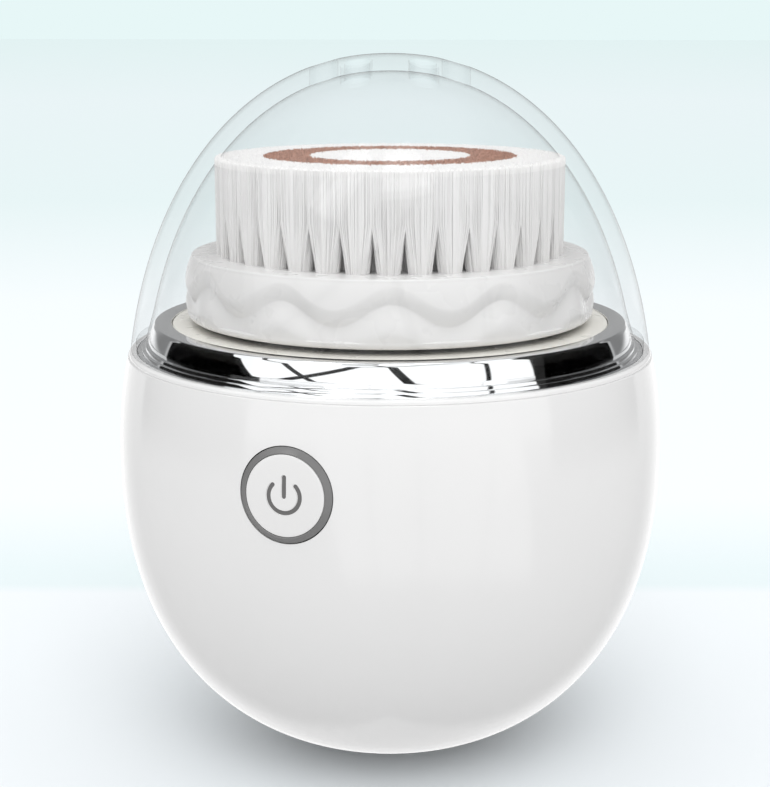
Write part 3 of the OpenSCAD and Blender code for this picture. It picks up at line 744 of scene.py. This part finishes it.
def make_head():
    """White base of the brush head: a shallow cup and hub, a row of waves round its side."""
    low_z, top_z = HEAD_Z + EDGE_LOW, BRISTLE_Z - EDGE_TOP
    side = [(lambda a, z=z: head_side(z) - wave_depth(z, a), z) for z in np.linspace(low_z, top_z, 72)]
    low = arc((head_side(low_z) - EDGE_LOW, low_z), EDGE_LOW, -90, -8, 7)
    top = [(lambda a, d=d: d - wave_depth(top_z, a), z)
           for d, z in arc((head_side(top_z) - EDGE_TOP, top_z), EDGE_TOP, 20, 90, 7)]
    profile = [(HUB_BORE_R, HUB_Z), (HUB_R, HUB_Z), (HUB_R, CUP_Z), (CUP_R, CUP_Z), (CUP_R, HEAD_Z + 0.3),
               (CUP_R + 0.3, HEAD_Z)] + low + side + top + [(HUB_BORE_R, BRISTLE_Z)]
    head = lathe("brush_head_base", profile, 720)
    finish_piece(head, "brush_head", "head_white", "brush_base")


# ---------------------------------------------------------------- bristles

FILAMENT_R = 0.1
ROOT_R = 1.42
ROOT_Z = BRISTLE_Z - 0.05
FIELD_R = 23.75
TRIM_H = 0.54
TRIM_R = 0.9
MERGE = 0.5
SQUARING = 0.72
CROWD = 1.12
HEART_Z = 76.8
HEART_DEPTH = 0.32
RIM_W = 0.4
SUNK = 0.5
TIPS_PER_MM2 = 9
TIP_DEPTH = 1.6


def trimmed_height(r):
    """Height of the bristle tips at radius r: flat, and rounded off at the field's edge."""
    edge = max(0.0, (r - (FIELD_R - TRIM_R)) / TRIM_R)
    return TIP_Z - TRIM_H * (1 - math.sqrt(1 - min(1.0, edge) ** 2))


def tuft_place(ring, k, u, v, t):
    """Place and radius in a ring's tuft k: u outwards and v round, each -1 to 1 across its round root, at
    t from root to tip. The tuft swells from its root to its squarer share of the crown."""
    ring_r, tufts, low_r, high_r = ring
    stretch = 1 - SQUARING + SQUARING * math.hypot(u, v) / max(abs(u), abs(v), TINY)
    full_r = (low_r + high_r) / 2 + u * stretch * (high_r - low_r) / 2 * CROWD
    full_turn = v * stretch * math.pi / tufts * CROWD
    swell = min(1.0, t / MERGE)
    root = Vector((ring_r + u * ROOT_R, v * ROOT_R))
    crown = Vector((full_r * math.cos(full_turn), full_r * math.sin(full_turn)))
    here = root.lerp(crown, swell)
    r, turn = here.length, math.atan2(here.y, here.x) + 2 * math.pi * k / tufts + math.radians(HEAD_TURN)
    return Vector((r * math.cos(turn), r * math.sin(turn))), r


class Strands:
    """Gathers closed tubes of a few sides into one mesh."""

    def __init__(self):
        self.points, self.faces = [], []

    def tube(self, centres, radii, sides, phase):
        """Closed tube along centres, with a low point on its tip."""
        base = len(self.points)
        turns = [phase + 2 * math.pi * q / sides for q in range(sides)]
        for centre, r in zip(centres, radii):
            self.points += [(centre[0] + r * math.cos(q), centre[1] + r * math.sin(q), centre[2])
                            for q in turns]
        self.close(base, len(centres), sides)
        x, y, z = centres[-1]
        self.points.append((x, y, z + radii[-1] * 0.8))
        last = base + sides * (len(centres) - 1)
        self.faces += [(last + q, last + (q + 1) % sides, last + sides) for q in range(sides)]

    def close(self, base, rings, sides):
        """Walls between rings of points that start at base, and the first ring's floor."""
        for level in range(rings - 1):
            low = base + sides * level
            for q in range(sides):
                n = (q + 1) % sides
                self.faces.append((low + q, low + n, low + sides + n, low + sides + q))
        self.faces.append(tuple(range(base + sides - 1, base - 1, -1)))


def add_heart(strands, inner_r, outer_r, sides=180):
    """Ring that fills the crown behind its filaments, just below their tips."""
    base, gap, rim_gap = len(strands.points), 0.02, 0.16
    spread = np.linspace(inner_r + gap, outer_r - (rim_gap if outer_r == FIELD_R else gap), 7)
    profile = [(spread[-1], HEART_Z), (spread[0], HEART_Z)]
    profile += [(r, trimmed_height(r) - HEART_DEPTH) for r in spread]
    for r, z in profile:
        strands.points += [(r * math.cos(q), r * math.sin(q), z)
                           for q in np.linspace(0, 2 * math.pi, sides, endpoint=False)]
    for row in range(len(profile)):
        low, high = base + row * sides, base + (row + 1) % len(profile) * sides
        for q in range(sides):
            n = (q + 1) % sides
            strands.faces.append((low + q, high + q, high + n, low + n))


def add_core(strands, ring, k, inner_r, outer_r, sides=24):
    """Heart of a tuft, just inside its outer filaments, up into the heart of the crown."""
    base, inset, wall = len(strands.points), 0.965, 0.2
    levels = (0.0, 0.15, 0.3, MERGE, 0.7, 0.93)
    for t in levels:
        for q in range(sides):
            a = 2 * math.pi * q / sides
            place, r = tuft_place(ring, k, inset * math.cos(a), inset * math.sin(a), t)
            held = min(max(r, inner_r + wall), outer_r - wall)
            place *= held / r
            z = ROOT_Z + (trimmed_height(held) - BRISTLE_Z) * t
            strands.points.append((place.x, place.y, z))
    strands.close(base, len(levels), sides)
    last = base + sides * (len(levels) - 1)
    strands.faces.append(tuple(range(last, last + sides)))


def add_strand(strands, ring, k, u, v, levels, inner_r, outer_r, draw):
    """One filament, through its tuft to its place in the crown. It shows its tip only at the rim."""
    shift = draw.normal(0, 0.008, 2)
    drop, phase = abs(draw.normal(0, 0.09)), draw.uniform(0, 2 * math.pi)
    centres = []
    for t in levels:
        place, r = tuft_place(ring, k, u + shift[0] * t, v + shift[1] * t, t)
        held = min(max(r, inner_r + FILAMENT_R), outer_r - FILAMENT_R)
        place *= held / r
        sunk = 0.1 + drop if held > FIELD_R - RIM_W else SUNK
        z = ROOT_Z + (trimmed_height(held) - sunk - BRISTLE_Z) * t
        centres.append((place.x, place.y, z))
    strands.tube(centres, [FILAMENT_R * (1 - 0.2 * t) for t in levels], 3, phase)


def add_tuft(strands, ring, k, count, inner_r, outer_r, draw):
    """One tuft: its heart, and two layers of full filaments round it."""
    add_core(strands, ring, k, inner_r, outer_r)
    for i in range(count):
        a = 2 * math.pi * (i + draw.uniform(-0.3, 0.3)) / count
        share = 0.99 if i % 2 else 0.95
        add_strand(strands, ring, k, share * math.cos(a), share * math.sin(a),
                   (0.0, 0.22, MERGE, 0.7, 1.0), inner_r, outer_r, draw)


def add_tips(strands, inner_r, outer_r, draw):
    """Short filament ends, spread evenly over the crown's zone and cut to slightly uneven heights."""
    golden = math.pi * (3 - math.sqrt(5))
    low, high = inner_r + FILAMENT_R, outer_r - FILAMENT_R
    count = int(math.pi * (high**2 - low**2) * TIPS_PER_MM2)
    for i in range(count):
        r = math.sqrt(low**2 + (high**2 - low**2) * (i + 0.5) / count)
        a = i * golden + draw.normal(0, 0.06) / max(r, 1)
        x, y = r * math.cos(a), r * math.sin(a)
        top = trimmed_height(r) - 0.08 - abs(draw.normal(0, 0.1))
        lean = draw.normal(0, 0.05, 2)
        strands.tube([(x, y, top - TIP_DEPTH), (x + lean[0], y + lean[1], top)],
                     [FILAMENT_R, FILAMENT_R * 0.85], 3, draw.uniform(0, 2 * math.pi))


def tuft_ring(name, slot, rings, count, inner_r, outer_r, replaced, seed):
    """One zone of bristles, as rings of tufts with count outer filaments each. A ring is its root
    circle's radius, its number of tufts, and the inner and outer radius of its crown."""
    draw = np.random.default_rng(seed)
    strands = Strands()
    add_heart(strands, inner_r, outer_r)
    for ring in rings:
        for k in range(ring[1]):
            add_tuft(strands, ring, k, count, inner_r, outer_r, draw)
    add_tips(strands, inner_r, outer_r, draw)
    piece = mesh_object(name, strands.points, strands.faces, 60)
    finish_piece(piece, "brush_head", slot, *replaced)


def make_bristles():
    """White, copper and white zones of tufts, from the field's edge inwards."""
    edge, middle, split, inner = FIELD_R, 20.45, 17.2, 10.95
    tuft_ring("edge_tufts", "bristle_white", [(22.3, 36, middle, edge)], 120, middle, edge,
              ["outer_bristles"], 1)
    tuft_ring("second_tufts", "bristle_white", [(18.8, 30, split, middle)], 60, split, middle, [], 2)
    tuft_ring("copper_tufts", "bristle_copper", [(15.6, 24, 14.1, split), (12.55, 18, inner, 14.1)],
              50, inner, split, ["copper_bristles"], 3)
    tuft_ring("centre_tufts", "bristle_white",
              [(9.35, 15, 7.6, inner), (5.6, 9, 3.8, 7.6), (1.95, 3, 0.0, 3.8)], 50, 0.0, inner,
              ["centre_bristles"], 4)


# ---------------------------------------------------------------- cover

SKIRT_Z = foot_of("dome_cover")
SKIRT_R = 34.92
SKIRT_TOP_Z = 56.85
LEAD_R = 33.6
LEAD_Z = 61.0
FOOT_EDGE = 0.3


def cover_side(low, inset, steps=90):
    """Outline of the cover from height low to the crown; steps close up where it flattens."""
    start = math.asin(((low - COVER_Z) / (COVER_H - inset)) ** (COVER_POWER / 2))
    side = []
    for i in range(steps + 1):
        turn = start + (math.pi / 2 - start) * i / steps
        side.append(((COVER_R - inset) * math.cos(turn) ** (2 / COVER_POWER) if i < steps else 0.0,
                     COVER_Z + (COVER_H - inset) * math.sin(turn) ** (2 / COVER_POWER)))
    return side


def make_cover():
    """Clear cover: one moulded shell with a stepped skirt and six vents."""
    side_z = SKIRT_Z + FOOT_EDGE
    outer, inner = cover_side(side_z, 0), cover_side(LEAD_Z, COVER_WALL)
    foot = arc((outer[0][0] - FOOT_EDGE, side_z), FOOT_EDGE, -90, -5, 5)
    profile = [(SKIRT_R, SKIRT_Z + 0.05), (SKIRT_R + 0.08, SKIRT_Z)] + foot + outer + inner[::-1]
    profile += [(LEAD_R, SKIRT_TOP_Z + 0.05), (LEAD_R + 0.06, SKIRT_TOP_Z), (SKIRT_R, SKIRT_TOP_Z)]
    cover = lathe("clear_cover", profile, 320)
    vents, below_z, above_z = [], 84, 100
    for k in range(VENTS):
        a = math.radians(SET_DOWN + 360 / VENTS * k)
        x, y = VENT_RING_R * math.cos(a), VENT_RING_R * math.sin(a)
        vents.append(rod(f"vent_{k}", VENT_R, (x, y, below_z), (x, y, above_z), 64))
    cut(cover, *vents)
    true_normals(cover, [
        (cover_radius, 1, side_z, COVER_Z + COVER_H),
        (lambda z: cover_radius(z, COVER_WALL), -1, LEAD_Z, COVER_Z + COVER_H - COVER_WALL)])
    finish_piece(cover, "cover", "clear_plastic", "dome_cover")


make_shell()
make_button()
make_port_plug()
make_ring()
make_deck()
make_head()
make_bristles()
make_cover()

# ---------------------------------------------------------------- stage

LIGHT_ON_FLOOR = 1.11
NEAR_FLOOR = (243, 248, 251)
FLOOR_TONES = ((0.0, NEAR_FLOOR), (0.207, NEAR_FLOOR), (0.222, (233, 244, 246)), (0.25, (234, 245, 247)),
               (0.36, (246, 251, 254)), (0.65, (246, 252, 254)), (0.787, (234, 247, 248)),
               (0.916, (238, 249, 251)), (1.0, (231, 247, 247)))
DEPTH_SCALE = 0.2
FLOOR_BOUNCE = (0.79, 0.755, 0.735)
BACKDROP = (0.8, 0.93, 0.93)
MIDDLE_Z = 45


def linear(colour):
    """Display colour of 0 to 255 as the share of light that gives it."""
    return tuple(((c / 255 + 0.055) / 1.055) ** 2.4 for c in colour)


def make_floor():
    """Pale floor. Behind the object its tone steps down, then pales and turns slowly to cyan."""
    half, drop = 20000, 0.02
    corners = [(-half, -half, 0), (half, -half, 0), (half, half, 0), (-half, half, 0)]
    floor = mesh_object("floor", corners, [(0, 1, 2, 3)])
    floor.location.z = -drop * MM
    floor.visible_glossy = False
    shader = Shader("floor", (0.9, 0.9, 0.9), 1.0)
    shader.principled.inputs["Specular IOR Level"].default_value = 0.0
    turn = math.radians(CAMERA_TURN)
    depth = shader.add("ShaderNodeVectorMath", operation="DOT_PRODUCT")
    depth.inputs[1].default_value = (-math.sin(turn), math.cos(turn), 0)
    shader.link(shader.place, depth.inputs[0])
    behind = shader.math("MAXIMUM", depth.outputs["Value"], 0.0)
    share = shader.math("DIVIDE", behind, shader.math("ADD", behind, DEPTH_SCALE))
    tones = [(at, tint(linear(colour), 1 / LIGHT_ON_FLOOR)) for at, colour in FLOOR_TONES]
    bounce = shader.add("ShaderNodeMix", data_type="RGBA", blend_type="MULTIPLY")
    bounce.inputs["B"].default_value = (*FLOOR_BOUNCE, 1)
    shader.link(shader.add("ShaderNodeLightPath").outputs["Is Diffuse Ray"], bounce.inputs["Factor"])
    shader.link(shader.ramp(share, tones), bounce.inputs["A"])
    shader.link(bounce.outputs["Result"], shader.principled.inputs["Base Color"])
    floor.data.materials.append(shader.material)


class Studio(Nodes):
    """World nodes in the camera's own directions: azimuth in degrees, 0 behind the camera and
    positive to the right of the picture, and elevation in degrees."""

    def __init__(self):
        world = bpy.data.worlds.new("studio")
        bpy.context.scene.world = world
        world.use_nodes = True
        self.tree = world.node_tree
        self.tree.nodes.clear()
        place = self.add("ShaderNodeTexCoord")
        turned = self.add("ShaderNodeVectorRotate", rotation_type="Z_AXIS")
        turned.inputs["Angle"].default_value = -math.radians(CAMERA_TURN)
        self.link(place.outputs["Generated"], turned.inputs["Vector"])
        split = self.add("ShaderNodeSeparateXYZ")
        self.link(turned.outputs["Vector"], split.inputs["Vector"])
        x, y, z = split.outputs
        self.azimuth = self.math("MULTIPLY", self.math("ARCTAN2", x, self.math("MULTIPLY", y, -1)),
                                 180 / math.pi)
        self.elevation = self.math("MULTIPLY", self.math("ARCSINE", z), 180 / math.pi)

    def leaning(self, slope, level=29, lowest=10):
        """Azimuth measured along a line that leans by slope degrees for each degree upwards."""
        height = self.math("MAXIMUM", self.elevation, lowest)
        lift = self.math("MULTIPLY", self.math("SUBTRACT", height, level), slope)
        return self.math("SUBTRACT", self.azimuth, lift)

    def rise(self, value, start, end):
        """0 where value is at start and 1 where it is at end, smooth between them."""
        node = self.add("ShaderNodeMapRange", interpolation_type="SMOOTHSTEP")
        node.inputs["From Min"].default_value = start
        node.inputs["From Max"].default_value = end
        self.link(value, node.inputs["Value"])
        return node.outputs["Result"]

    def band(self, value, low, high, soft=1.0, low_soft=None):
        """1 where value is between low and high, with soft edges."""
        low_soft = low_soft or soft
        return self.both(self.rise(value, low - low_soft, low + low_soft),
                         self.rise(value, high + soft, high - soft))

    def both(self, first, second):
        return self.math("MULTIPLY", first, second)

    def either(self, first, second):
        return self.math("MAXIMUM", first, second)

    def blend(self, share, first, second):
        """Level first where share is 0 and second where it is 1."""
        return self.math("ADD", self.math("MULTIPLY", share, self.math("SUBTRACT", second, first)), first)

    def background(self, colour=None, level=None):
        """Background of one colour, or of a grey level from other nodes."""
        node = self.add("ShaderNodeBackground")
        if colour:
            node.inputs["Color"].default_value = (*colour, 1)
        else:
            self.link(level, node.inputs["Color"])
        return node.outputs["Background"]

    def choose(self, ray, first, second):
        """Shader first, and second for the rays that ray names."""
        node = self.add("ShaderNodeMixShader")
        self.link(ray, node.inputs["Fac"])
        self.link(first, node.inputs[1])
        self.link(second, node.inputs[2])
        return node.outputs["Shader"]


def window_bars(s):
    """Thin leaning bars that the bright ring mirrors: azimuth, lean and half width of each."""
    bars = None
    for azimuth, slope, half in ((-51.9, -1.5, 2.2), (4.6, -0.5, 2.6), (48.5, 0.2, 1.3), (-28.4, 1.75, 3.0)):
        bar = s.band(s.leaning(slope), azimuth - half, azimuth + half, 0.5)
        bars = bar if bars is None else s.either(bars, bar)
    return s.both(bars, s.band(s.elevation, 12, 56, 3))


def dark_flags(s):
    """A black flag on each side of the object, with leaning inner edges."""
    left_in, right_in, outer = -82.5, 72.5, 126
    left = s.both(s.rise(s.leaning(-1.15), left_in + 0.6, left_in - 0.6),
                  s.rise(s.azimuth, -outer - 1, -outer + 1))
    right = s.both(s.rise(s.leaning(0.2), right_in - 0.6, right_in + 0.6),
                   s.rise(s.azimuth, outer + 1, outer - 1))
    return s.both(s.either(left, right), s.band(s.elevation, -9, 56, 3, 5))


def window_panes(s):
    """Faint panes low in front of the object, parted by leaning mullions."""
    lean = {"level": -10, "lowest": -60}
    panes = s.both(s.band(s.leaning(-0.35, **lean), -26, 57, 1.2), s.band(s.elevation, -30, 8, 1.5, 5))
    for azimuth, slope in ((-8, -0.1), (12, -0.07), (41, 0.09)):
        mullion = s.band(s.leaning(slope, **lean), azimuth - 0.7, azimuth + 0.7, 0.6)
        panes = s.both(panes, s.math("SUBTRACT", 1, mullion))
    return panes


def light_boxes(s):
    """Bright boxes high up, one over the front and one to its left."""
    front = s.both(s.band(s.azimuth, -8, 42, 1.5), s.band(s.elevation, 60, 80, 1))
    left = s.both(s.band(s.azimuth, -56, -34, 1.5), s.band(s.elevation, 48, 78, 1))
    return s.either(front, left)


def mirrored_level(s):
    """Grey level of what gloss mirrors: a white front, a dim back, and what stands between."""
    front, back, corner, back_floor, overhead, pane, box = 1.2, 0.42, 0.24, 0.68, 0.7, 1.35, 4.2
    around = s.math("ABSOLUTE", s.azimuth)
    level = s.blend(s.rise(around, 130, 122), s.blend(s.rise(around, 154, 138), back, corner), front)
    below = s.blend(s.rise(around, 130, 158), back_floor, front)
    level = s.blend(s.rise(s.elevation, 1, -3), level, below)
    level = s.blend(window_panes(s), level, pane)
    level = s.blend(s.rise(s.elevation, 53, 59), level, overhead)
    level = s.blend(light_boxes(s), level, box)
    return s.blend(s.either(dark_flags(s), window_bars(s)), level, 0.0)


def make_world():
    """Soft white studio. What gloss mirrors has dark sides and window bars, as studio flats give."""
    s = Studio()
    floor_level, sky_level = 0.72, 0.95
    mirrored = s.background(level=mirrored_level(s))
    soft = s.background(level=s.blend(s.rise(s.elevation, -12, 8), floor_level, sky_level))
    path = s.add("ShaderNodeLightPath")
    seen = s.choose(path.outputs["Is Glossy Ray"], soft, mirrored)
    seen = s.choose(path.outputs["Is Camera Ray"], seen, s.background(colour=BACKDROP))
    output = s.add("ShaderNodeOutputWorld")
    s.link(seen, output.inputs["Surface"])


def add_lamp(name, data):
    """New lamp that gloss does not mirror."""
    lamp = bpy.data.objects.new(name, data)
    bpy.context.scene.collection.objects.link(lamp)
    lamp.visible_glossy = False
    return lamp


def make_sun():
    """Wide soft light from straight above."""
    data = bpy.data.lights.new("overhead_light", "SUN")
    data.energy, data.angle = 0.35, math.radians(70)
    add_lamp("overhead_light", data)


def make_lamp(name, azimuth, elevation, distance, size, power):
    """Soft square lamp that faces the middle of the object; azimuth 0 is the camera's side."""
    data = bpy.data.lights.new(name, "AREA")
    data.size = size * MM
    data.energy = power
    lamp = add_lamp(name, data)
    a, e = math.radians(azimuth + CAMERA_TURN), math.radians(elevation)
    away = Vector((math.sin(a) * math.cos(e), -math.cos(a) * math.cos(e), math.sin(e)))
    lamp.location = Vector((0, 0, MIDDLE_Z * MM)) + away * distance * MM
    lamp.rotation_mode = "QUATERNION"
    lamp.rotation_quaternion = away.to_track_quat("Z", "Y")


make_floor()
make_world()
make_sun()
make_lamp("front_light", azimuth=5, elevation=56, distance=900, size=500, power=1.65)

view = bpy.context.scene.view_settings
view.view_transform = "Standard"
view.look = "None"
cycles = bpy.context.scene.cycles
cycles.max_bounces = 12
cycles.transparent_max_bounces = 16
